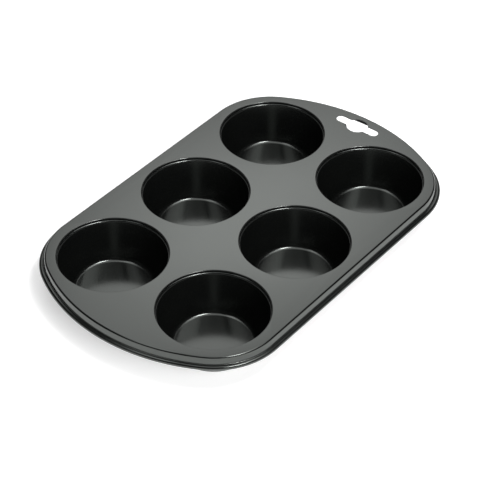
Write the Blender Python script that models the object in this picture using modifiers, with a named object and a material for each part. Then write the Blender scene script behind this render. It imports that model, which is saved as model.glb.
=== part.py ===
"""Muffin pan: a pressed steel plate with a wired rim, and six drawn cups locked into its holes.

Metres, +Z up. The origin is on the table, under the middle of the pan. +X points to the end that has the
hanging hole. Each piece is modelled with z = 0 at the plate's top face, and an empty lifts them all, so that
the cups' floors stand on z = 0.
"""
import math

import bmesh
import bpy
from mathutils import Vector

MM = 0.001

# Sheet steel, the same for the plate and the cups
SHEET = 0.4 * MM

# Grid of cups, and the flat lands between the mouths and round them
COLUMNS = 3
ROWS = 2
CUP_LAND = 9.2 * MM
SIDE_LAND = 6.5 * MM
END_LAND = 16.3 * MM

# Arcs of the plate's outline: the bow of both ends, and the corners
END_RADIUS = 120.0 * MM
CORNER_RADIUS = 42.6 * MM

# Skirt round the plate: bend, wall, fillet and ledge above the rolled bead
EDGE_BEND = 1.2 * MM
SKIRT_DRAFT = math.radians(13)
LEDGE_DEPTH = 4.75 * MM
SKIRT_FILLET = 0.5 * MM
LEDGE_WIDTH = 0.85 * MM

# Wire in the rim, and the sheet rolled round it
WIRE_DIAMETER = 1.8 * MM
WIRE_CLEARANCE = 0.15 * MM
ROLL_TURN = math.radians(310)

# Cup, inside sizes
MOUTH_RADIUS = 34.8 * MM
CUP_DEPTH = 27.5 * MM
FLOOR_RADIUS = 23.7 * MM
FLOOR_FILLET = 3.0 * MM
CUP_BEND = 1.4 * MM
CUP_BEND_OVERLAP = 0.5 * MM

# Lock seam round each mouth: the plate's hem hooks into the cup's curl
SEAM_CLEARANCE = 0.12 * MM
HEM_WIDTH = 1.6 * MM
CURL_CLEARANCE = 0.1 * MM
LEAF_WIDTH = 1.4 * MM

# Hanging hole at the +X end: a slot across the pan, with a round hole in its middle
HANGER_INSET = 10.1 * MM
HANGER_SLOT_LENGTH = 33.0 * MM
HANGER_SLOT_WIDTH = 6.4 * MM
HANGER_ROUND_DIAMETER = 14.4 * MM
HANGER_FILLET = 1.0 * MM

# Facets
MOUTH_STEPS = 28
END_STEPS = 10
CORNER_STEPS = 6
BEND_STEPS = 2
FOLD_STEPS = 3
ROLL_STEPS = 9
HANGER_STEPS = 6
WIRE_RESOLUTION = 2
SMOOTH_ANGLE = math.radians(35)
MERGE_DISTANCE = 0.001 * MM

# Sizes that follow from the ones above
PAN_HEIGHT = CUP_DEPTH + SHEET
BEAD_RADIUS = WIRE_DIAMETER / 2 + WIRE_CLEARANCE + SHEET
LEAF_PITCH = SHEET + SEAM_CLEARANCE
FOLD_RADIUS = LEAF_PITCH + SHEET / 2
HEM_RADIUS = MOUTH_RADIUS + FOLD_RADIUS
CURL_RADIUS = HEM_RADIUS + HEM_WIDTH + CURL_CLEARANCE
CURL_INSIDE = FOLD_RADIUS - SHEET
CUP_FLANGE_DEPTH = 2 * FOLD_RADIUS + SEAM_CLEARANCE
CUP_BEND_RADIUS = MOUTH_RADIUS + CUP_BEND_OVERLAP
PITCH = 2 * HEM_RADIUS + CUP_LAND
FLAT_LENGTH = (COLUMNS - 1) * PITCH + 2 * (HEM_RADIUS + END_LAND)
FLAT_WIDTH = (ROWS - 1) * PITCH + 2 * (HEM_RADIUS + SIDE_LAND)
HANGER_X = FLAT_LENGTH / 2 - HANGER_INSET

STEEL_COATED = (0.055, 0.060, 0.060, 1.0)
WIRE_STEEL = (0.35, 0.35, 0.36, 1.0)


def clear_scene():
    """Remove what Blender starts with."""
    for old in list(bpy.data.objects):
        bpy.data.objects.remove(old, do_unlink=True)


def arc(centre_x, centre_y, radius, start, end, steps):
    """Points along an arc, both ends included."""
    turn = (end - start) / steps
    angles = [start + turn * i for i in range(steps + 1)]
    return [(centre_x + radius * math.cos(a), centre_y + radius * math.sin(a)) for a in angles]


def without_doubles(points):
    """A closed outline whose neighbouring points don't coincide."""
    kept = []
    for point in points:
        if not kept or math.dist(point, kept[-1]) > MERGE_DISTANCE:
            kept.append(point)
    if math.dist(kept[0], kept[-1]) < MERGE_DISTANCE:
        kept.pop()
    return kept


def end_angle():
    """Half the angle of an end bow, where it runs into the corners' arcs."""
    return math.asin((FLAT_WIDTH / 2 - CORNER_RADIUS) / (END_RADIUS - CORNER_RADIUS))


def plate_arcs(offset):
    """The outline's six arcs, offset outwards, as centre, radius, start, end and steps."""
    half = end_angle()
    end_x = FLAT_LENGTH / 2 - END_RADIUS
    corner_x = end_x + (END_RADIUS - CORNER_RADIUS) * math.cos(half)
    corner_y = FLAT_WIDTH / 2 - CORNER_RADIUS
    quarter = math.pi / 2
    end = END_RADIUS + offset
    corner = CORNER_RADIUS + offset
    return [
        (end_x, 0, end, -half, half, END_STEPS),
        (corner_x, corner_y, corner, half, quarter, CORNER_STEPS),
        (-corner_x, corner_y, corner, quarter, 2 * quarter - half, CORNER_STEPS),
        (-end_x, 0, end, 2 * quarter - half, 2 * quarter + half, END_STEPS),
        (-corner_x, -corner_y, corner, 2 * quarter + half, 3 * quarter, CORNER_STEPS),
        (corner_x, -corner_y, corner, 3 * quarter, 4 * quarter - half, CORNER_STEPS),
    ]


def plate_outline(offset=0.0):
    """The plate's outline, with bowed ends and round corners, moved outwards by offset."""
    return without_doubles([point for each in plate_arcs(offset) for point in arc(*each)])


def plate_directions():
    """Unit vectors that point out of the plate, one for each point of its outline."""
    return [(q[0] - p[0], q[1] - p[1]) for p, q in zip(plate_outline(), plate_outline(1.0))]


def mouth_outline(centre):
    """The edge of the flat round one mouth, where the sheet starts to fold down."""
    return arc(*centre, HEM_RADIUS, 0, 2 * math.pi, MOUTH_STEPS)[:-1]


def mouth_directions():
    """Unit vectors that point into a mouth, one for each point of its outline."""
    return [(-x, -y) for x, y in arc(0, 0, 1.0, 0, 2 * math.pi, MOUTH_STEPS)[:-1]]


def hanger_outline():
    """The hanging hole: a slot along Y and a round hole, with small fillets where they meet."""
    half_width = HANGER_SLOT_WIDTH / 2
    slot_end = HANGER_SLOT_LENGTH / 2 - half_width
    radius = HANGER_ROUND_DIAMETER / 2
    side = half_width + HANGER_FILLET
    rise = math.sqrt((radius + HANGER_FILLET) ** 2 - side ** 2)
    spread = math.atan2(rise, side)
    half_turn = math.pi
    few = BEND_STEPS
    points = arc(0, 0, radius, -spread, spread, HANGER_STEPS)
    points += arc(side, rise, HANGER_FILLET, spread + half_turn, half_turn, few)
    points += arc(0, slot_end, half_width, 0, half_turn, HANGER_STEPS)
    points += arc(-side, rise, HANGER_FILLET, 0, -spread, few)
    points += arc(0, 0, radius, half_turn - spread, half_turn + spread, HANGER_STEPS)
    points += arc(-side, -rise, HANGER_FILLET, spread, 0, few)
    points += arc(0, -slot_end, half_width, half_turn, 2 * half_turn, HANGER_STEPS)
    points += arc(side, -rise, HANGER_FILLET, half_turn, half_turn - spread, few)
    return without_doubles([(x + HANGER_X, y) for x, y in points])


def bead_centre():
    """Distance out from the flat's edge, and depth, of the rim wire's centre line."""
    bend_out = EDGE_BEND * math.cos(SKIRT_DRAFT)
    bend_depth = EDGE_BEND * (1 - math.sin(SKIRT_DRAFT))
    fillet_depth = LEDGE_DEPTH - SKIRT_FILLET
    drop = fillet_depth - bend_depth + SKIRT_FILLET * math.sin(SKIRT_DRAFT)
    fillet_out = bend_out + drop * math.tan(SKIRT_DRAFT) + SKIRT_FILLET * math.cos(SKIRT_DRAFT)
    return fillet_out + LEDGE_WIDTH, LEDGE_DEPTH + BEAD_RADIUS


def rim_profile():
    """Distances out and depths from the flat's edge: bend, skirt, fillet, ledge and the roll on the wire."""
    bead_out, bead_depth = bead_centre()
    fillet_out = bead_out - LEDGE_WIDTH
    fillet_depth = LEDGE_DEPTH - SKIRT_FILLET
    profile = arc(0, EDGE_BEND, EDGE_BEND, -math.pi / 2, -SKIRT_DRAFT, BEND_STEPS)[1:]
    profile += arc(fillet_out, fillet_depth, SKIRT_FILLET, math.pi - SKIRT_DRAFT, math.pi / 2, BEND_STEPS)
    profile += arc(bead_out, bead_depth, BEAD_RADIUS, -math.pi / 2, ROLL_TURN - math.pi / 2, ROLL_STEPS)
    return profile


def hem_profile():
    """Distances in and depths from a hole's flat edge: the fold down, and the hem that runs back outwards."""
    fold = arc(0, FOLD_RADIUS, FOLD_RADIUS, -math.pi / 2, math.pi / 2, FOLD_STEPS)[1:]
    return fold + [(-HEM_WIDTH, 2 * FOLD_RADIUS)]


def cup_draft():
    """Angle of the cup's wall from upright: the line that touches both the top bend and the floor fillet."""
    across = CUP_BEND_RADIUS - FLOOR_RADIUS
    down = CUP_DEPTH - FLOOR_FILLET - CUP_FLANGE_DEPTH - CUP_BEND
    return math.atan2(across, down) - math.asin((CUP_BEND + FLOOR_FILLET) / math.hypot(across, down))


def cup_profile():
    """Radii and heights of the cup's inner face, from the curl's leaf down to the middle of the floor."""
    draft = cup_draft()
    curl_depth = CUP_FLANGE_DEPTH - CURL_INSIDE
    leaf = [(CURL_RADIUS - LEAF_WIDTH, curl_depth - CURL_INSIDE)]
    curl = arc(CURL_RADIUS, curl_depth, CURL_INSIDE, -math.pi / 2, math.pi / 2, FOLD_STEPS)
    bend_depth = CUP_FLANGE_DEPTH + CUP_BEND
    bend = arc(CUP_BEND_RADIUS, bend_depth, CUP_BEND, -math.pi / 2, -math.pi + draft, BEND_STEPS)
    fillet = arc(FLOOR_RADIUS, CUP_DEPTH - FLOOR_FILLET, FLOOR_FILLET, draft, math.pi / 2, BEND_STEPS)
    return [(r, -depth) for r, depth in leaf + curl + bend + fillet + [(0, CUP_DEPTH)]]


def cup_centres():
    """Centres of the cups, row by row."""
    xs = [(i - (COLUMNS - 1) / 2) * PITCH for i in range(COLUMNS)]
    ys = [(j - (ROWS - 1) / 2) * PITCH for j in range(ROWS)]
    return [(x, y) for y in ys for x in xs]


def make_material(name, colour, roughness, metallic):
    """A plain Principled material."""
    material = bpy.data.materials.new(name)
    material.use_nodes = True
    shader = material.node_tree.nodes["Principled BSDF"]
    shader.inputs["Base Color"].default_value = colour
    shader.inputs["Roughness"].default_value = roughness
    shader.inputs["Metallic"].default_value = metallic
    material.diffuse_color = colour
    return material


def add_object(name, data, material, collection, parent):
    """Put data in the scene as an object with its own material."""
    obj = bpy.data.objects.new(name, data)
    data.materials.append(material)
    obj.parent = parent
    collection.objects.link(obj)
    return obj


def add_loop(bm, points):
    """A closed loop of vertices at z = 0, joined by edges."""
    verts = [bm.verts.new((x, y, 0)) for x, y in points]
    for i, vert in enumerate(verts):
        bm.edges.new((verts[i - 1], vert))
    return verts


def pull_edge(bm, verts, directions, profile):
    """Extrude a sheet's open edge along a profile, given as distances out along the directions and depths."""
    rail = {vert: (vert.co.copy(), Vector((*way, 0))) for vert, way in zip(verts, directions)}
    edges = [edge for edge in bm.edges if edge.is_boundary and all(vert in rail for vert in edge.verts)]
    for out, depth in profile:
        made = bmesh.ops.extrude_edge_only(bm, edges=edges)["geom"]
        edges = [each for each in made if isinstance(each, bmesh.types.BMEdge)]
        next_rail = {}
        for vert in (each for each in made if isinstance(each, bmesh.types.BMVert)):
            neighbours = (edge.other_vert(vert) for edge in vert.link_edges)
            start, way = next(rail[each] for each in neighbours if each in rail)
            vert.co = start + way * out - Vector((0, 0, depth))
            next_rail[vert] = (start, way)
        rail = next_rail


def build_plate(collection, parent):
    """The plate: a flat sheet with holes. Its outer edge runs down to the rolled rim, and the edges of its
    round holes are folded down and back into hems."""
    bm = bmesh.new()
    rim = add_loop(bm, plate_outline())
    mouths = [add_loop(bm, mouth_outline(centre)) for centre in cup_centres()]
    add_loop(bm, hanger_outline())
    bmesh.ops.triangle_fill(bm, use_beauty=True, edges=bm.edges[:])
    pull_edge(bm, rim, plate_directions(), rim_profile())
    for mouth in mouths:
        pull_edge(bm, mouth, mouth_directions(), hem_profile())

    bmesh.ops.recalc_face_normals(bm, faces=bm.faces[:])
    flat_face = max(bm.faces, key=lambda face: face.calc_center_median().z)
    if flat_face.normal.z < 0:
        bmesh.ops.reverse_faces(bm, faces=bm.faces[:])
    mesh = bpy.data.meshes.new("top_plate")
    bm.to_mesh(mesh)
    bm.free()
    mesh.shade_smooth()
    mesh.set_sharp_from_angle(angle=SMOOTH_ANGLE)
    coating = make_material("plate_coating", STEEL_COATED, 0.38, 0.3)
    plate = add_object("top_plate", mesh, coating, collection, parent)
    thicken(plate, -1)


def thicken(obj, side):
    """Give a sheet its thickness, on the side of its faces' fronts (1) or backs (-1)."""
    solidify = obj.modifiers.new("sheet_thickness", "SOLIDIFY")
    solidify.thickness = SHEET
    solidify.offset = side
    solidify.use_even_offset = True
    solidify.use_rim = True


def build_wire(collection, parent):
    """The wire ring inside the rolled rim."""
    out, depth = bead_centre()
    curve = bpy.data.curves.new("rim_wire", "CURVE")
    curve.dimensions = "3D"
    curve.bevel_depth = WIRE_DIAMETER / 2
    curve.bevel_resolution = WIRE_RESOLUTION
    spline = curve.splines.new("POLY")
    points = plate_outline(out)
    spline.points.add(len(points) - 1)
    for target, (x, y) in zip(spline.points, points):
        target.co = (x, y, -depth, 1)
    spline.use_cyclic_u = True
    add_object("rim_wire", curve, make_material("wire_steel", WIRE_STEEL, 0.35, 1.0), collection, parent)


def build_cup(name, centre, collection, parent):
    """One drawn cup: wall, floor, flange and the curl that hooks over the plate's hem."""
    profile = cup_profile()
    mesh = bpy.data.meshes.new(name)
    mesh.from_pydata([(r, 0, z) for r, z in profile], [(i, i + 1) for i in range(len(profile) - 1)], [])
    coating = make_material(name + "_coating", STEEL_COATED, 0.30, 0.3)
    cup = add_object(name, mesh, coating, collection, parent)
    cup.location = (*centre, 0)
    turn = cup.modifiers.new("turn", "SCREW")
    turn.steps = MOUTH_STEPS
    turn.render_steps = MOUTH_STEPS
    turn.use_merge_vertices = True
    turn.merge_threshold = MERGE_DISTANCE
    turn.use_smooth_shade = True
    thicken(cup, 1)


def main():
    clear_scene()
    collection = bpy.data.collections.new("muffin_pan")
    bpy.context.scene.collection.children.link(collection)
    plate_level = bpy.data.objects.new("plate_level", None)
    plate_level.location = (0, 0, PAN_HEIGHT)
    collection.objects.link(plate_level)
    build_plate(collection, plate_level)
    build_wire(collection, plate_level)
    for number, centre in enumerate(cup_centres(), start=1):
        build_cup(f"cup_{number}", centre, collection, plate_level)


main()
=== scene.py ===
# %% [markdown]
# # A muffin pan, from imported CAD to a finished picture
#
# The pan is made of eight pieces of thin steel: a pressed plate with a rolled rim, a wire inside that rim, and six
# drawn cups that are hooked into the plate's holes. The CAD model has the right sizes but only a few facets, so this
# script draws each piece again with fine curves, in the same place, and gives it the finish of the real one.
#
# The first step is always the frame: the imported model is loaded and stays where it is, and everything else is
# fitted to it. Its bounding box is kept, to be compared with the finished pan's at the end.

from math import asin, atan2, cos, degrees, hypot, pi, radians, sin, sqrt, tan

import bpy
from mathutils import Matrix, Vector


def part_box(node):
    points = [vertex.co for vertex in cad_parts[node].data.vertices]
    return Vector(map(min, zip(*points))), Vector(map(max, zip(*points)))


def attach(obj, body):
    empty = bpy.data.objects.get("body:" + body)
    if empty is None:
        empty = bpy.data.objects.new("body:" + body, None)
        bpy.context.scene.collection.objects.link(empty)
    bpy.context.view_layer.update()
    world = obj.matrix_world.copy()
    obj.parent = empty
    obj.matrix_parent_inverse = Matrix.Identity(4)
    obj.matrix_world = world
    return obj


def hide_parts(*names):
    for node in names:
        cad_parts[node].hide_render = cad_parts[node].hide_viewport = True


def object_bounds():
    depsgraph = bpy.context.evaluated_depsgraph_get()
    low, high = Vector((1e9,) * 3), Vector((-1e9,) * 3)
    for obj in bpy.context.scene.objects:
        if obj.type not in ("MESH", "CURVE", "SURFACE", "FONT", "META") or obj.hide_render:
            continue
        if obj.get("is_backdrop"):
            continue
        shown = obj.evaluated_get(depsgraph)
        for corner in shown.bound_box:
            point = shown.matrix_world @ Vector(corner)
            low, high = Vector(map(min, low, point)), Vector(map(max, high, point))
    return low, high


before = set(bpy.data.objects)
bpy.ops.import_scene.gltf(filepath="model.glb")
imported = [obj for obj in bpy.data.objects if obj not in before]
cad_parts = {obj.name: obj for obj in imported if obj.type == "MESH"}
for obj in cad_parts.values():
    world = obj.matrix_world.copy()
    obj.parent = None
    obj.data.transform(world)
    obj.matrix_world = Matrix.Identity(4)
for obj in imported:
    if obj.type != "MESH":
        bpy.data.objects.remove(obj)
cad_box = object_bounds()
CUP_NODES = sorted(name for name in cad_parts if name.startswith("cup_"))
print("CAD nodes:", sorted(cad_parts))

# %% [markdown]
# ## Sizes
#
# Blender counts in metres, and sheet metal is spoken of in millimetres, so every length on the pan is a number times
# MM. Only the floor and the lamps are given in metres. Places come from the frame: the plate's top face and the
# middle of each cup. All other sizes are those that a toolmaker would give, for the bends, folds and fillets. Each is
# named in the cell that needs it first, so a change in one line carries through the whole pan.

# %% Places from the frame
MM = 0.001
UP = Vector((0, 0, 1))
SHEET = 0.4 * MM

PLATE_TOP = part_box("top_plate")[1].z
CUP_CENTRES = [(sum(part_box(name), Vector()) / 2).xy for name in CUP_NODES]
PITCH = CUP_CENTRES[1].x - CUP_CENTRES[0].x
print(f"plate top {PLATE_TOP / MM:.2f} mm above the table, cups {PITCH / MM:.2f} mm apart")

# %% [markdown]
# ## A pen for sections of sheet metal
#
# Bent sheet is described as a draughtsman would: straight runs and bends, one after the other. Blender has no pen,
# but one lone vertex does the same work in edit mode. Extruding it draws a straight run, and spinning it draws a
# bend. The new end stays selected, so the next step carries on from there.
#
# In Python the spin tool turns clockwise for a positive angle. The pen hides that, and takes angles the way they are
# taught at school, with left turns positive. Typing coordinates into a mesh would be shorter, but then the
# reader would see numbers instead of bends.

# %% The pen
class Pen:
    """One selected vertex in edit mode, with a heading in the upright plane that holds `out`."""

    def __init__(self, name, place, out, heading):
        bpy.ops.object.select_all(action="DESELECT")
        bpy.ops.mesh.primitive_plane_add(size=SHEET, location=place)
        bpy.ops.object.transform_apply(location=True, rotation=True, scale=True)
        self.piece = bpy.context.object
        self.piece.name = name
        self.place = Vector(place)
        self.out = Vector(out)
        self.heading = heading
        bpy.ops.object.mode_set(mode="EDIT")
        bpy.ops.mesh.merge(type="CENTER")

    def way(self, turned=0.0):
        """The direction of the heading, or of one turned to its left."""
        angle = self.heading + turned
        return self.out * cos(angle) + UP * sin(angle)

    def run(self, length):
        """Draw straight on."""
        step = self.way() * length
        bpy.ops.mesh.extrude_region_move(TRANSFORM_OT_translate={"value": step})
        self.place += step

    def bend(self, radius, turn, steps):
        """Draw an arc, to the left if turn is positive and to the right if it is negative."""
        side = 1 if turn > 0 else -1
        centre = self.place + self.way(side * pi / 2) * radius
        axis = self.out.cross(UP)
        bpy.ops.mesh.spin(steps=steps, angle=-turn, center=centre, axis=axis)
        self.place = centre + Matrix.Rotation(turn, 3, axis) @ (self.place - centre)
        self.heading += turn


# %% [markdown]
# ## From a section to a sheet
#
# A section becomes a surface when it is carried along a path. For a round piece the path is a circle, and one spin
# of a full turn makes the surface, as a lathe does. The points that fall together are then merged, so that there
# is no seam and the pole in the middle is closed.
#
# The surface still has no thickness. The Solidify modifier adds the 0.4 mm of steel on the hidden side, with even
# thickness, so the sheet stays equally thick round each bend. Shading comes last: cut edges stay sharp, and a
# weighted normal lets the big flat faces keep their own direction. Without that, a flat plate next to a bend
# mirrors the room as if it were bowed.

# %% Turn a section, and give a sheet its thickness
MERGE_DISTANCE = 0.001 * MM
CUT_EDGE_ANGLE = radians(40)
LARGE_FACE_WEIGHT = 80


def turn_round(centre, steps):
    """Spin the whole section round an upright axis."""
    bpy.ops.mesh.select_all(action="SELECT")
    bpy.ops.mesh.spin(steps=steps, angle=2 * pi, center=(*centre, 0), axis=UP)
    bpy.ops.mesh.select_all(action="SELECT")
    bpy.ops.mesh.remove_doubles(threshold=MERGE_DISTANCE)


def face_up(piece):
    """Make all normals agree, with the flat parts facing up. Ends in object mode."""
    bpy.ops.mesh.select_all(action="SELECT")
    bpy.ops.mesh.normals_make_consistent(inside=False)
    bpy.ops.object.mode_set(mode="OBJECT")
    largest = max(piece.data.polygons, key=lambda face: face.area * abs(face.normal.z))
    if largest.normal.z < 0:
        bpy.ops.object.mode_set(mode="EDIT")
        bpy.ops.mesh.flip_normals()
        bpy.ops.object.mode_set(mode="OBJECT")


def apply_modifier(piece, kind, **settings):
    """Add a modifier, set it up and apply it."""
    modifier = piece.modifiers.new(kind.title(), kind)
    for name, value in settings.items():
        setattr(modifier, name, value)
    bpy.ops.object.modifier_apply(modifier=modifier.name)


def thicken(piece, rim_material=0):
    """Give a surface the thickness of the sheet, behind its faces."""
    apply_modifier(piece, "SOLIDIFY", thickness=SHEET, offset=-1, use_even_offset=True,
                   use_quality_normals=True, material_offset_rim=rim_material)


def shade(piece):
    """Smooth over the bends and keep cut edges sharp."""
    bpy.ops.object.shade_smooth_by_angle(angle=CUT_EDGE_ANGLE)
    apply_modifier(piece, "WEIGHTED_NORMAL", keep_sharp=True, weight=LARGE_FACE_WEIGHT)


# %% [markdown]
# ## The cups
#
# A cup is drawn from a round blank in a press: a punch pushes the steel through a ring, and leaves a flat floor, a
# small fillet and a wall that leans out so that muffins slide free. The flange is then turned up and curled inwards
# over the plate's hem, which locks the two together without a weld.
#
# Everything is round, so the whole cup is one section and one full turn. The section starts at the hidden end of
# the curl and finishes in the middle of the floor. The wall's lean isn't typed in: it follows from the two bends,
# because the wall is the straight line that touches both.

# %% Sizes of a cup, and of the seam that holds it
MOUTH_RADIUS = 34.8 * MM
CUP_DEPTH = 27.5 * MM
FLOOR_RADIUS = 23.7 * MM
FLOOR_FILLET = 3.0 * MM
CUP_BEND = 1.4 * MM
CUP_BEND_OVERLAP = 0.5 * MM
CUP_BEND_RADIUS = MOUTH_RADIUS + CUP_BEND_OVERLAP

SEAM_CLEARANCE = 0.12 * MM
FOLD_RADIUS = SHEET + SEAM_CLEARANCE + SHEET / 2
HEM_RADIUS = MOUTH_RADIUS + FOLD_RADIUS
HEM_WIDTH = 1.6 * MM
CURL_CLEARANCE = 0.1 * MM
CURL_INSIDE = FOLD_RADIUS - SHEET
CURL_RADIUS = HEM_RADIUS + HEM_WIDTH + CURL_CLEARANCE
LEAF_WIDTH = 1.4 * MM
FLANGE_DEPTH = 2 * FOLD_RADIUS + SEAM_CLEARANCE
print(f"mouth {2 * MOUTH_RADIUS / MM:.1f} mm wide, cup {CUP_DEPTH / MM:.1f} mm deep inside")

# %% Section of a cup
CUP_STEPS = 180
CURL_STEPS = 8
CUP_BEND_STEPS = 10
FILLET_STEPS = 10

lean_across = CUP_BEND_RADIUS - FLOOR_RADIUS
lean_down = CUP_DEPTH - FLOOR_FILLET - FLANGE_DEPTH - CUP_BEND
both_bends = CUP_BEND + FLOOR_FILLET
CUP_DRAFT = atan2(lean_across, lean_down) - asin(both_bends / hypot(lean_across, lean_down))
WALL_LENGTH = sqrt(lean_across ** 2 + lean_down ** 2 - both_bends ** 2)
print(f"cup wall leans {degrees(CUP_DRAFT):.1f} degrees and is {WALL_LENGTH / MM:.1f} mm long")


def draw_cup(name, centre):
    """Draw a cup's inner face, from the curl's leaf to the middle of the floor, and turn it round."""
    leaf_level = PLATE_TOP - FLANGE_DEPTH + 2 * CURL_INSIDE
    start = Vector((centre.x + CURL_RADIUS - LEAF_WIDTH, centre.y, leaf_level))
    pen = Pen(name, start, out=(1, 0, 0), heading=0)
    pen.run(LEAF_WIDTH)
    pen.bend(CURL_INSIDE, -pi, CURL_STEPS)
    pen.run(CURL_RADIUS - CUP_BEND_RADIUS)
    pen.bend(CUP_BEND, pi / 2 - CUP_DRAFT, CUP_BEND_STEPS)
    pen.run(WALL_LENGTH)
    pen.bend(FLOOR_FILLET, CUP_DRAFT - pi / 2, FILLET_STEPS)
    pen.run(FLOOR_RADIUS)
    turn_round(centre, CUP_STEPS)
    return pen.piece


# %% [markdown]
# ## One cup, and five copies
#
# The six cups are alike, so one is drawn and finished, and copies of it are moved to the other places. Most of
# Blender's tools work on what is selected, and some on the active object, which is the one clicked last. A script
# has to say both before it copies anything.

# %% Select and copy
def select_only(*pieces):
    """Select these pieces and nothing else, with the first one active."""
    bpy.ops.object.select_all(action="DESELECT")
    for piece in pieces:
        piece.select_set(True)
    bpy.context.view_layer.objects.active = pieces[0]


def copy_to_cup(piece, centre):
    """Copy a piece that was drawn round the first cup's centre to another cup's centre."""
    select_only(piece)
    shift = (centre - CUP_CENTRES[0]).to_3d()
    bpy.ops.object.duplicate_move(TRANSFORM_OT_translate={"value": shift})
    return bpy.context.object


# %% Six cups
first_cup = draw_cup("cup_1_drawn", CUP_CENTRES[0])
face_up(first_cup)
thicken(first_cup)
shade(first_cup)

cups = [first_cup]
for number, centre in enumerate(CUP_CENTRES[1:], start=2):
    cup = copy_to_cup(first_cup, centre)
    cup.name = f"cup_{number}_drawn"
    bpy.ops.object.transform_apply(location=True, rotation=True, scale=True)
    cups.append(cup)
print(len(cups), "cups, each with", len(first_cup.data.polygons), "faces")

# %% [markdown]
# ## A path round the plate
#
# The plate's outline is two straight sides, two slightly bowed ends and four round corners. Every arc runs smoothly
# into the next, so their centres can be worked out from the plate's length and width. A section that stands on the
# outline is carried round it in eight moves: extruded along a side, and spun about the centre of each arc.
# This is how the rim is really rolled: one section all the way round.

# %% Arcs of the outline
END_RADIUS = 120.0 * MM
CORNER_RADIUS = 42.6 * MM
SIDE_LAND = 6.5 * MM
END_LAND = 16.3 * MM
FLAT_LENGTH = 2 * PITCH + 2 * (HEM_RADIUS + END_LAND)
FLAT_WIDTH = PITCH + 2 * (HEM_RADIUS + SIDE_LAND)
print(f"flat of the plate: {FLAT_LENGTH / MM:.1f} x {FLAT_WIDTH / MM:.1f} mm")

corner_y = FLAT_WIDTH / 2 - CORNER_RADIUS
HALF_BOW = asin(corner_y / (END_RADIUS - CORNER_RADIUS))
end_x = FLAT_LENGTH / 2 - END_RADIUS
corner_x = end_x + (END_RADIUS - CORNER_RADIUS) * cos(HALF_BOW)
SIDE_START = Vector((-corner_x, -FLAT_WIDTH / 2, PLATE_TOP))
SIDE_LENGTH = 2 * corner_x
print(f"straight sides {SIDE_LENGTH / MM:.1f} mm, ends bowed over {degrees(2 * HALF_BOW):.1f} degrees")

# %% Carry a section along the outline
END_STEPS = 72
CORNER_STEPS = 48


def spin_about(x, y, turn, steps):
    """Carry the selected section about an upright axis, to the left."""
    bpy.ops.mesh.spin(steps=steps, angle=-turn, center=(x, y, 0), axis=UP)


def sweep_round_the_plate():
    """Carry the whole section once round the plate, starting along its front side."""
    corner_turn = pi / 2 - HALF_BOW
    bpy.ops.mesh.select_all(action="SELECT")
    for side in (1, -1):
        along = Vector((side * SIDE_LENGTH, 0, 0))
        bpy.ops.mesh.extrude_region_move(TRANSFORM_OT_translate={"value": along})
        spin_about(side * corner_x, -side * corner_y, corner_turn, CORNER_STEPS)
        spin_about(side * end_x, 0, 2 * HALF_BOW, END_STEPS)
        spin_about(side * corner_x, side * corner_y, corner_turn, CORNER_STEPS)
    bpy.ops.mesh.select_all(action="SELECT")
    bpy.ops.mesh.remove_doubles(threshold=MERGE_DISTANCE)


# %% [markdown]
# ## The rim
#
# The edge of the plate is bent down into a short skirt, stepped out over a narrow ledge, and rolled round a steel
# wire. The skirt and the roll make the thin plate stiff, and leave no sharp edge to cut a hand.
#
# The section is drawn at the left end of the front side, heading out of the plate, and then swept round.

# %% Sizes of the rim
EDGE_BEND = 1.2 * MM
SKIRT_DRAFT = radians(13)
LEDGE_DEPTH = 4.75 * MM
SKIRT_FILLET = 0.5 * MM
LEDGE_WIDTH = 0.85 * MM

WIRE_DIAMETER = 1.8 * MM
WIRE_CLEARANCE = 0.15 * MM
BEAD_RADIUS = WIRE_DIAMETER / 2 + WIRE_CLEARANCE + SHEET
ROLL_TURN = radians(310)
print(f"bead {2 * BEAD_RADIUS / MM:.1f} mm thick round a wire of {WIRE_DIAMETER / MM:.1f} mm")

# %% Section of the rim, swept round
EDGE_STEPS = 8
SKIRT_FILLET_STEPS = 6
ROLL_STEPS = 36

bend_depth = EDGE_BEND * (1 - sin(SKIRT_DRAFT))
skirt_drop = LEDGE_DEPTH - SKIRT_FILLET - bend_depth + SKIRT_FILLET * sin(SKIRT_DRAFT)
bead_out = (EDGE_BEND + SKIRT_FILLET) * cos(SKIRT_DRAFT) + skirt_drop * tan(SKIRT_DRAFT) + LEDGE_WIDTH
bead_depth = LEDGE_DEPTH + BEAD_RADIUS

pen = Pen("plate_pressed", SIDE_START, out=(0, -1, 0), heading=0)
pen.bend(EDGE_BEND, SKIRT_DRAFT - pi / 2, EDGE_STEPS)
pen.run(skirt_drop / cos(SKIRT_DRAFT))
pen.bend(SKIRT_FILLET, pi / 2 - SKIRT_DRAFT, SKIRT_FILLET_STEPS)
pen.run(LEDGE_WIDTH)
pen.bend(BEAD_RADIUS, -ROLL_TURN, ROLL_STEPS)
sweep_round_the_plate()
bpy.ops.object.mode_set(mode="OBJECT")
plate = pen.piece
print(f"rim: {len(plate.data.polygons)} faces, bead {bead_out / MM:.2f} mm out of the flat's edge")

# %% [markdown]
# ## The hems round the mouths
#
# Each round hole in the plate has its edge folded down and back, flat under the sheet. The cup's curl hooks over this
# hem. From above only the small round fold shows, as a crisp ring round every mouth.
#
# One hem is drawn and turned round, and five copies are moved to the other cups. Its upper edge lies in the
# plate's top face, where the flat will meet it.

# %% One hem, six places
HEM_STEPS = 10

pen = Pen("hem", (CUP_CENTRES[0].x + HEM_RADIUS, CUP_CENTRES[0].y, PLATE_TOP), out=(1, 0, 0), heading=pi)
pen.bend(FOLD_RADIUS, pi, HEM_STEPS)
pen.run(HEM_WIDTH)
turn_round(CUP_CENTRES[0], CUP_STEPS)
bpy.ops.object.mode_set(mode="OBJECT")

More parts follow.
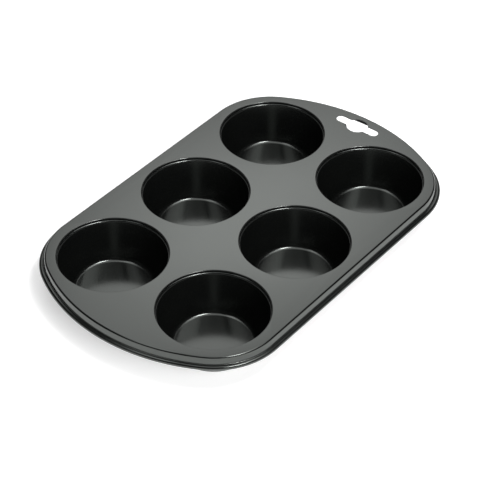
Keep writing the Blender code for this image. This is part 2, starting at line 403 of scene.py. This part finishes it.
hems = [pen.piece]
for centre in CUP_CENTRES[1:]:
    hems.append(copy_to_cup(hems[0], centre))
print(len(hems), "hems")

# %% [markdown]
# ## The hanging hole
#
# Shops hang the pan on a hook, through a slot with a wider round hole in its middle. The hole is only an outline at
# this stage, drawn flat with arcs about upright axes. It looks the same after half a turn, so half of it is
# drawn and then spun by half a turn as a duplicate.

# %% Outline of the hanging hole
HANGER_INSET = 10.1 * MM
HANGER_X = FLAT_LENGTH / 2 - HANGER_INSET
SLOT_LENGTH = 33.0 * MM
SLOT_WIDTH = 6.4 * MM
ROUND_RADIUS = 7.2 * MM
HANGER_FILLET = 1.0 * MM
ROUND_STEPS = 24
HANGER_FILLET_STEPS = 8

fillet_x = SLOT_WIDTH / 2 + HANGER_FILLET
fillet_y = sqrt((ROUND_RADIUS + HANGER_FILLET) ** 2 - fillet_x ** 2)
round_turn = atan2(fillet_y, fillet_x)
slot_end_y = (SLOT_LENGTH - SLOT_WIDTH) / 2
slot_side = Vector((0, slot_end_y - fillet_y, 0))

pen = Pen("hanging_hole", (HANGER_X + ROUND_RADIUS, 0, PLATE_TOP), out=(1, 0, 0), heading=0)
spin_about(HANGER_X, 0, round_turn, ROUND_STEPS)
spin_about(HANGER_X + fillet_x, fillet_y, -round_turn, HANGER_FILLET_STEPS)
bpy.ops.mesh.extrude_region_move(TRANSFORM_OT_translate={"value": slot_side})
spin_about(HANGER_X, slot_end_y, pi, ROUND_STEPS)
bpy.ops.mesh.extrude_region_move(TRANSFORM_OT_translate={"value": -slot_side})
spin_about(HANGER_X - fillet_x, fillet_y, -round_turn, HANGER_FILLET_STEPS)
spin_about(HANGER_X, 0, round_turn, ROUND_STEPS)
bpy.ops.mesh.select_all(action="SELECT")
bpy.ops.mesh.spin(steps=1, dupli=True, angle=pi, center=(HANGER_X, 0, 0), axis=UP)
bpy.ops.mesh.select_all(action="SELECT")
bpy.ops.mesh.remove_doubles(threshold=MERGE_DISTANCE)
bpy.ops.object.mode_set(mode="OBJECT")
hanging_hole = pen.piece
print("hanging hole:", len(hanging_hole.data.vertices), "points round its edge")

# %% [markdown]
# ## The flat of the plate
#
# The rim, the six hems and the hanging hole are joined into one mesh. Their edges that lie in the plate's top face
# form one outline with seven holes in it. The fill tool closes exactly that: it makes triangles between the
# outline and the holes. The triangles are long and thin, which does no harm, because they all lie in one plane.
#
# The plate then gets its thickness. The narrow faces along the cut edges are put in a second material slot: the
# sheet is coated before it is punched, so the hanging hole shows bare steel in its edge. Both slots are still empty
# here, and are filled when the materials are made.

# %% Pick edges by their place
FLATNESS = 0.0001 * MM


def in_top_face(ends):
    """Whether an edge of the plate, given by its two vertices, lies in the plate's top face."""
    return all(abs(plate.data.vertices[index].co.z - PLATE_TOP) < FLATNESS for index in ends)


def select_edges_of_plate(wanted):
    """Go into edit mode with those edges selected whose two vertices pass the test."""
    for part in (*plate.data.vertices, *plate.data.polygons):
        part.select = False
    for edge in plate.data.edges:
        edge.select = wanted(edge.key)
    bpy.ops.object.mode_set(mode="EDIT")
    bpy.ops.mesh.select_mode(type="EDGE")


# %% Fill the flat
select_only(plate, hanging_hole, *hems)
bpy.ops.object.join()
select_edges_of_plate(in_top_face)
bpy.ops.mesh.fill(use_beauty=True)
bpy.ops.mesh.select_all(action="SELECT")
bpy.ops.mesh.remove_doubles(threshold=MERGE_DISTANCE)
face_up(plate)
print("plate:", len(plate.data.polygons), "faces in its upper side")

# %% Thicken the plate, with a second material on its cut edges
COATED = 0
CUT_EDGE = 1

plate.data.materials.append(None)
plate.data.materials.append(None)
thicken(plate, rim_material=CUT_EDGE)
print("plate:", len(plate.data.polygons), "faces with both sides and the edges")

# %% [markdown]
# ## The edge of the hanging hole
#
# A punch pulls the sheet down a little before it cuts through, so the upper edge of a punched hole is always rounded.
# It is a small thing, but it catches the light as a thin ring round the hole. The edge to be rounded is found by
# asking for edges of the cut faces that lie in the plate's top face. Nothing else on the plate is both cut and at
# that height.

# %% Round the punched edge
PUNCH_ROUNDING = 0.1 * MM
PUNCH_STEPS = 3

cut_faces = [face for face in plate.data.polygons if face.material_index == CUT_EDGE]
punched_edge = {ends for face in cut_faces for ends in face.edge_keys if in_top_face(ends)}
select_edges_of_plate(punched_edge.__contains__)
bpy.ops.mesh.bevel(offset=PUNCH_ROUNDING, segments=PUNCH_STEPS, material=COATED)
bpy.ops.object.mode_set(mode="OBJECT")
shade(plate)
print("rounded", len(punched_edge), "edges of the hanging hole")

# %% [markdown]
# ## The wire in the rim
#
# The wire hides inside the roll, and only a glimpse of it can be had through the narrow gap underneath. Its section
# is a plain circle, swept along the same path as the rim, a little further out and down.

# %% Wire ring
WIRE_STEPS = 20

bpy.ops.object.select_all(action="DESELECT")
wire_start = SIDE_START + Vector((0, -bead_out, -bead_depth))
bpy.ops.mesh.primitive_circle_add(vertices=WIRE_STEPS, radius=WIRE_DIAMETER / 2, location=wire_start,
                                  rotation=(0, pi / 2, 0))
bpy.ops.object.transform_apply(location=True, rotation=True, scale=True)
wire = bpy.context.object
wire.name = "wire_ring"
bpy.ops.object.mode_set(mode="EDIT")
sweep_round_the_plate()
bpy.ops.mesh.normals_make_consistent(inside=False)
bpy.ops.object.mode_set(mode="OBJECT")
shade(wire)
print("wire:", len(wire.data.polygons), "faces")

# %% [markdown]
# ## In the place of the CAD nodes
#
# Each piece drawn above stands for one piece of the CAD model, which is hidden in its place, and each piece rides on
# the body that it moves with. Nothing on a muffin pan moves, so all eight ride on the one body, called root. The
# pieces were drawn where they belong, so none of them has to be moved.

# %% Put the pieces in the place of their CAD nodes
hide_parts("top_plate")
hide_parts("rim_wire")
for cup, node in zip(cups, CUP_NODES):
    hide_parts(node)
pieces = [plate, wire, *cups]
for piece in pieces:
    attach(piece, "root")
print("pieces:", [piece.name for piece in pieces])

# %% [markdown]
# ## Tools for materials
#
# A material in Blender is a tree of nodes, and each input of a node takes either a plain value or the output of
# another node. A few small helpers keep the trees readable: one feeds a node's inputs, one adds a node and feeds it,
# and two more return the output of a Math node and of a Map Range node, which are needed most often. The last one
# starts a new material.
#
# An effect that several finishes share is built once, as a node group, and placed in each material with its values.

# %% Helpers for node trees
NODE_SPACING = 220


def feed(tree, node, inputs):
    """Feed the inputs, each named by its label or its number, with a plain value or another node's output."""
    for label, value in inputs.items():
        if isinstance(value, bpy.types.NodeSocket):
            tree.links.new(value, node.inputs[label])
        else:
            node.inputs[label].default_value = value


def add_node(tree, kind, inputs=None, **settings):
    """A new node, placed to the right of the last one."""
    node = tree.nodes.new(kind)
    node.location = (NODE_SPACING * len(tree.nodes), 0)
    for name, value in settings.items():
        setattr(node, name, value)
    feed(tree, node, inputs or {})
    return node


def calculate(tree, operation, first, second, **settings):
    """The output of a Math node that is fed with two numbers or outputs."""
    return add_node(tree, "ShaderNodeMath", {0: first, 1: second}, operation=operation, **settings).outputs["Value"]


def rescale(tree, value, to_low, to_high, from_low=0.0, from_high=1.0, **settings):
    """The output of a Map Range node: from to_low to to_high, while the value goes from from_low to from_high."""
    limits = {"From Min": from_low, "From Max": from_high, "To Min": to_low, "To Max": to_high}
    return add_node(tree, "ShaderNodeMapRange", {"Value": value, **limits}, **settings).outputs["Result"]


def new_material(name):
    """A new material, with its node tree and its shader."""
    material = bpy.data.materials.new(name)
    material.use_nodes = True
    return material, material.node_tree, material.node_tree.nodes["Principled BSDF"]


# %% [markdown]
# ## Non-stick coating
#
# The sheet is sprayed with a black non-stick coat and baked. It is not a mirror and not matt, but satin: sharp
# enough to show a lamp as a soft patch. Close up it has a fine orange-peel grain, from the drops of the spray, and
# over a few centimetres its gloss drifts slightly.
#
# Both come from noise in the piece's own coordinates. The group takes the two scales, and gives a height for the bump
# and a slow drift that the material uses for its colour and roughness.

# %% Group: spray grain
GRAIN_DETAIL = 3
DRIFT_DETAIL = 2


def build_spray_grain():
    """Fine grain as a height, and a slow drift, both between 0 and 1."""
    group = bpy.data.node_groups.new("spray_grain", "ShaderNodeTree")
    for label, direction in (("Grain", "INPUT"), ("Drift", "INPUT"), ("Height", "OUTPUT"), ("Drift", "OUTPUT")):
        group.interface.new_socket(label, in_out=direction, socket_type="NodeSocketFloat")
    scales = add_node(group, "NodeGroupInput").outputs
    place = add_node(group, "ShaderNodeTexCoord").outputs["Object"]
    grain = add_node(group, "ShaderNodeTexNoise", {"Vector": place, "Scale": scales["Grain"], "Detail": GRAIN_DETAIL})
    drift = add_node(group, "ShaderNodeTexNoise", {"Vector": place, "Scale": scales["Drift"], "Detail": DRIFT_DETAIL})
    add_node(group, "NodeGroupOutput", {"Height": grain.outputs["Fac"], "Drift": drift.outputs["Fac"]})
    return group


SPRAY_GRAIN = build_spray_grain()
print("group:", SPRAY_GRAIN.name)

# %% Place the group in a material
GRAIN_SIZE = 0.45 * MM
DRIFT_SIZE = 38 * MM


def add_spray_grain(tree, grain_size, drift_size):
    """The group's outputs, for a grain and a drift of these sizes."""
    scales = {"Grain": 1 / grain_size, "Drift": 1 / drift_size}
    return add_node(tree, "ShaderNodeGroup", scales, node_tree=SPRAY_GRAIN).outputs


# %% Material: coating
COAT_BLACK = (0.002, 0.0022, 0.0021, 1)
COAT_BLACK_WORN = (0.003, 0.0033, 0.0031, 1)
COAT_IOR = 1.8
COAT_TINT = (0.94, 1.0, 0.95, 1)
PLATE_ROUGHNESS = 0.14
CUP_ROUGHNESS = 0.18
ROUGHNESS_DRIFT = 0.02
GRAIN_STRENGTH = 0.1
GRAIN_HEIGHT = 0.01 * MM


def make_coating(name, roughness):
    """Satin non-stick coat: near black, with its look in the gloss."""
    material, tree, shader = new_material(name)
    spray = add_spray_grain(tree, GRAIN_SIZE, DRIFT_SIZE)
    colour = add_node(tree, "ShaderNodeMix", {"A": COAT_BLACK, "B": COAT_BLACK_WORN, "Factor": spray["Drift"]},
                      data_type="RGBA")
    gloss = rescale(tree, spray["Drift"], roughness - ROUGHNESS_DRIFT, roughness + ROUGHNESS_DRIFT)
    bump = add_node(tree, "ShaderNodeBump", {"Height": spray["Height"], "Strength": GRAIN_STRENGTH,
                                             "Distance": GRAIN_HEIGHT})
    feed(tree, shader, {"Base Color": colour.outputs["Result"], "Roughness": gloss, "Normal": bump.outputs["Normal"],
                        "IOR": COAT_IOR, "Specular Tint": COAT_TINT})
    return material


plate_coating = make_coating("plate_coating", PLATE_ROUGHNESS)
cup_coating = make_coating("cup_coating", CUP_ROUGHNESS)
plate.data.materials[COATED] = plate_coating
for cup in cups:
    cup.data.materials.append(cup_coating)
print("coatings:", plate_coating.name, "and", cup_coating.name)

# %% [markdown]
# ## Bare steel
#
# Two places have no coating: the wire in the rim, and the edge of the hanging hole, where the punch cut through the
# coated sheet. Bare steel is a metal for the shader too, so its colour is the colour of what it mirrors. The noise
# of the spray grain serves once more and makes the grey a little uneven. A plain grey paint would be simpler, but it
# would not change with the light as metal does.

# %% Material: bare steel
BARE_STEEL = (0.42, 0.42, 0.43, 1)
STEEL_DULL = (0.30, 0.30, 0.31, 1)
CUT_ROUGHNESS = 0.45
WIRE_ROUGHNESS = 0.35


def make_steel(name, roughness):
    """Uncoated steel, slightly uneven."""
    material, tree, shader = new_material(name)
    spray = add_spray_grain(tree, GRAIN_SIZE, DRIFT_SIZE)
    colour = add_node(tree, "ShaderNodeMix", {"A": BARE_STEEL, "B": STEEL_DULL, "Factor": spray["Height"]},
                      data_type="RGBA")
    feed(tree, shader, {"Base Color": colour.outputs["Result"], "Metallic": 1.0, "Roughness": roughness})
    return material


plate.data.materials[CUT_EDGE] = make_steel("cut_edge_steel", CUT_ROUGHNESS)
wire.data.materials.append(make_steel("wire_steel", WIRE_ROUGHNESS))
print("steel:", plate.data.materials[CUT_EDGE].name, "and", wire.data.materials[0].name)

# %% [markdown]
# ## A white floor
#
# The pan stands on white paper, which takes its soft shadow. To come out pure white, the paper also glows, but only
# for rays from the camera and for reflections, which the Light Path node can tell apart. Brighter lamps would make
# it white as well, and would turn the black coat grey.
#
# The glow grows with the distance from the pan, where the lamps no longer reach. So the floor's far edge can't be
# told from the white behind it. The floor lies a hair below the cups, because two faces in exactly the same plane
# show through each other as speckles.

# %% Floor
FLOOR_SIZE = 12.0
FLOOR_GAP = 0.02 * MM
PAPER_WHITE = (0.8, 0.8, 0.8, 1)
GLOW_NEAR = 0.5
GLOW_FAR = 1.0
GLOW_STARTS = 0.4
GLOW_ENDS = 1.5

bpy.ops.object.select_all(action="DESELECT")
bpy.ops.mesh.primitive_plane_add(size=FLOOR_SIZE, location=(0, 0, -FLOOR_GAP))
floor = bpy.context.object
floor.name = "floor"
floor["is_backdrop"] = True


def make_floor_paper():
    """White paper: lit as any surface, and lifted to pure white where the camera or a reflection sees it."""
    material, tree, _ = new_material("floor_paper")
    tree.nodes.clear()
    paper = add_node(tree, "ShaderNodeBsdfDiffuse", {"Color": PAPER_WHITE})
    rays = add_node(tree, "ShaderNodeLightPath").outputs
    seen = calculate(tree, "MAXIMUM", rays["Is Camera Ray"], rays["Is Glossy Ray"])
    seen = calculate(tree, "MAXIMUM", seen, rays["Is Transmission Ray"])
    place = add_node(tree, "ShaderNodeTexCoord").outputs["Object"]
    distance = add_node(tree, "ShaderNodeVectorMath", {0: place}, operation="LENGTH").outputs["Value"]
    whiter = rescale(tree, distance, GLOW_NEAR, GLOW_FAR, from_low=GLOW_STARTS, from_high=GLOW_ENDS)
    glow = add_node(tree, "ShaderNodeEmission", {"Strength": calculate(tree, "MULTIPLY", seen, whiter)})
    both = add_node(tree, "ShaderNodeAddShader", {0: paper.outputs["BSDF"], 1: glow.outputs["Emission"]})
    add_node(tree, "ShaderNodeOutputMaterial", {"Surface": both.outputs["Shader"]})
    return material


floor.data.materials.append(make_floor_paper())
print(f"floor {FLOOR_SIZE:.0f} m wide, material", floor.data.materials[0].name)

# %% [markdown]
# ## The camera
#
# Where the camera stood can be worked out from the photo: the six round mouths appear as six ellipses, and only one
# direction and distance makes them look like that. It stands more than a metre away with a long lens, which is why
# the pan's sides run nearly parallel.
#
# Rather than turning the camera by hand until it fits, its three axes are built from the two angles, and the small
# roll is added to them. The aim is a point a little off the middle of the plate.

# %% Camera
CAMERA_AZIMUTH = radians(-51.48)
CAMERA_ELEVATION = radians(40.16)
CAMERA_ROLL = radians(0.12)
CAMERA_DISTANCE = 1122.4 * MM
AIM_RIGHT = -2.9 * MM
AIM_UP = -15.65 * MM
CAMERA_LENS = 133.0
FARTHEST_SEEN = 100.0

back = Vector((sin(CAMERA_AZIMUTH) * cos(CAMERA_ELEVATION), -cos(CAMERA_AZIMUTH) * cos(CAMERA_ELEVATION),
               sin(CAMERA_ELEVATION)))
level = Vector((cos(CAMERA_AZIMUTH), sin(CAMERA_AZIMUTH), 0))
turned = Matrix.Rotation(CAMERA_ROLL, 3, back)
right = turned @ level
upright = turned @ back.cross(level)
aim = Vector((0, 0, PLATE_TOP)) + right * AIM_RIGHT + upright * AIM_UP

bpy.ops.object.camera_add(location=aim + back * CAMERA_DISTANCE)
camera = bpy.context.object
camera.rotation_euler = Matrix((right, upright, back)).transposed().to_euler()
camera.data.lens = CAMERA_LENS
camera.data.clip_end = FARTHEST_SEEN
bpy.context.scene.camera = camera
print("camera", [round(c / MM) for c in camera.location], "mm")

# %% [markdown]
# ## Softboxes
#
# A softbox is an area lamp: a sheet of light that faces the pan. Its place is given as a direction seen from above
# and an angle of height, as a photographer would describe it.

# %% A softbox
def add_softbox(name, azimuth, elevation, distance, width, length, power):
    """A lamp that faces the pan, placed by two angles in degrees. Its length runs up and down."""
    across, up = radians(azimuth), radians(elevation)
    towards = Vector((cos(up) * cos(across), cos(up) * sin(across), sin(up)))
    bpy.ops.object.light_add(type="AREA", location=towards * distance)
    lamp = bpy.context.object
    lamp.name = name
    lamp.data.shape = "RECTANGLE"
    lamp.data.size = width
    lamp.data.size_y = length
    lamp.data.energy = power
    lamp.rotation_euler = towards.to_track_quat("Z", "Y").to_euler()
    return lamp


# %% [markdown]
# ## Softer edges, and no second images
#
# A real softbox is brightest in its middle, because the lamp stands behind the cloth. Its mirror image in a satin
# coat then has no hard edge. In Blender a lamp has its own nodes, and there its strength can be made to fall off
# towards the edge. The Parametric coordinates run from 0 to 1 across the lamp both ways.
#
# A strong light that is mirrored twice inside a round cup leaves small blotches that the photo doesn't show. Ray
# Depth counts the bounces: it is 2 where the camera sees a lamp in the coat, and 3 where it sees that image in the
# coat once more. Only the key needs this. The second images of the dimmer lamps are soft, and they lighten the cups'
# floors, as in the photo.

# %% Two ways to refine a softbox
LAMP_MIDDLE = (0.5, 0.5, 0)
DIRECT_DEPTH = 2.5


def soften_to_the_edge(lamp):
    """Let a lamp's light fall off from its middle to nothing at its edge, as behind a diffuser."""
    lamp.data.use_nodes = True
    tree = lamp.data.node_tree
    place = add_node(tree, "ShaderNodeNewGeometry").outputs["Parametric"]
    from_middle = add_node(tree, "ShaderNodeVectorMath", {0: place, 1: LAMP_MIDDLE}, operation="SUBTRACT")
    distance = add_node(tree, "ShaderNodeVectorMath", {0: from_middle.outputs["Vector"]}, operation="LENGTH")
    way_to_edge = calculate(tree, "MULTIPLY", distance.outputs["Value"], 2.0)
    square = calculate(tree, "MULTIPLY", way_to_edge, way_to_edge)
    inside = calculate(tree, "SUBTRACT", 1.0, square, use_clamp=True)
    feed(tree, tree.nodes["Emission"], {"Strength": calculate(tree, "MULTIPLY", inside, inside)})


def shine_once(lamp):
    """Let a softened lamp count where it shines or is mirrored directly, and not in a mirror image of an image."""
    tree = lamp.data.node_tree
    emission = tree.nodes["Emission"]
    softened = emission.inputs["Strength"].links[0].from_socket
    depth = add_node(tree, "ShaderNodeLightPath").outputs["Ray Depth"]
    direct = calculate(tree, "LESS_THAN", depth, DIRECT_DEPTH)
    feed(tree, emission, {"Strength": calculate(tree, "MULTIPLY", softened, direct)})


# %% [markdown]
# ## Placing the lamps
#
# A black pan shows its shape by what it mirrors, so the lamps are placed by mirror directions: each one stands where
# a light patch in the photo says it must. A wide, dim panel overhead makes the flat evenly grey. A smaller one on the
# far side brightens the middle. The key stands in front, high up, and draws the highlights on the mouths and
# in the cups. Two more at the sides pick out the rim.
#
# The fill lamps only light the floor and the shadow. They are hidden from reflections, and so leave the coat black.

# %% Lamps
PANEL_TURN = radians(21)

add_softbox("panel_overhead", azimuth=37.5, elevation=65, distance=1.5, width=0.76, length=2.8, power=7.2)
panel = add_softbox("panel_bright_middle", azimuth=38.4, elevation=40.7, distance=1.5, width=0.74, length=0.38,
                    power=1.15)
panel.rotation_euler = (panel.rotation_euler.to_matrix() @ Matrix.Rotation(PANEL_TURN, 3, "Z")).to_euler()
soften_to_the_edge(panel)

key = add_softbox("softbox_key", azimuth=261, elevation=65.5, distance=1.45, width=0.66, length=0.32, power=30)
soften_to_the_edge(key)
shine_once(key)
add_softbox("softbox_right", azimuth=312, elevation=70, distance=1.5, width=0.95, length=0.32, power=3.4)
add_softbox("softbox_left", azimuth=112, elevation=70, distance=1.5, width=0.9, length=0.32, power=1.6)

front_fill = add_softbox("fill_from_the_front", azimuth=251, elevation=28, distance=2.0, width=1.2, length=1.2,
                         power=46)
top_fill = add_softbox("fill_from_above", azimuth=-70, elevation=80, distance=2.0, width=2.0, length=2.0, power=2)
for fill in (front_fill, top_fill):
    fill.visible_glossy = False

# %% [markdown]
# ## The room
#
# The world is everything beyond the lamps. It hardly lights the pan, it is white where the camera looks past the
# floor, and in reflections it is light near the horizon and dark above. That is how a studio looks to the pan: a
# white sweep all round, and a dark ceiling. The outsides of the cups mirror it in the views from the side.
#
# The plain Standard view is used, so that a colour comes out as it was set.

# %% World
WHITE = (1, 1, 1, 1)
ROOM_LIGHT = 0.02
HORIZON_LIGHT = 0.8
HORIZON_HEIGHT = radians(22)
BACKDROP_LIGHT = 1.0

world = bpy.data.worlds.new("studio")
bpy.context.scene.world = world
world.use_nodes = True
tree = world.node_tree
tree.nodes.clear()

direction = add_node(tree, "ShaderNodeTexCoord").outputs["Generated"]
height = add_node(tree, "ShaderNodeSeparateXYZ", {"Vector": direction}).outputs["Z"]
darker_upwards = rescale(tree, height, HORIZON_LIGHT, ROOM_LIGHT, from_high=sin(HORIZON_HEIGHT),
                         interpolation_type="SMOOTHSTEP")
room, mirrored_room, backdrop = (
    add_node(tree, "ShaderNodeBackground", {"Color": WHITE, "Strength": strength}).outputs["Background"]
    for strength in (ROOM_LIGHT, darker_upwards, BACKDROP_LIGHT))

rays = add_node(tree, "ShaderNodeLightPath").outputs
in_mirror = add_node(tree, "ShaderNodeMixShader", {"Fac": rays["Is Glossy Ray"], 1: room, 2: mirrored_room})
in_camera = add_node(tree, "ShaderNodeMixShader", {"Fac": rays["Is Camera Ray"], 1: in_mirror.outputs["Shader"],
                                                   2: backdrop})
add_node(tree, "ShaderNodeOutputWorld", {"Surface": in_camera.outputs["Shader"]})

bpy.context.scene.view_settings.view_transform = "Standard"
print("world:", world.name)

# %% [markdown]
# ## Sizes, compared
#
# The finished pan has to fill the same box as the CAD model, or it won't fit where the CAD model fits. Both boxes are
# printed side by side. They differ by a few hundredths of a millimetre, because fine curves reach a little further
# out than a few facets do.

# %% Compare the sizes and finish
visual_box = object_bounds()
for axis, low, high, cad_low, cad_high in zip("xyz", *visual_box, *cad_box):
    print(f"{axis}: visual {low / MM:.2f} to {high / MM:.2f} mm, CAD {cad_low / MM:.2f} to {cad_high / MM:.2f} mm")
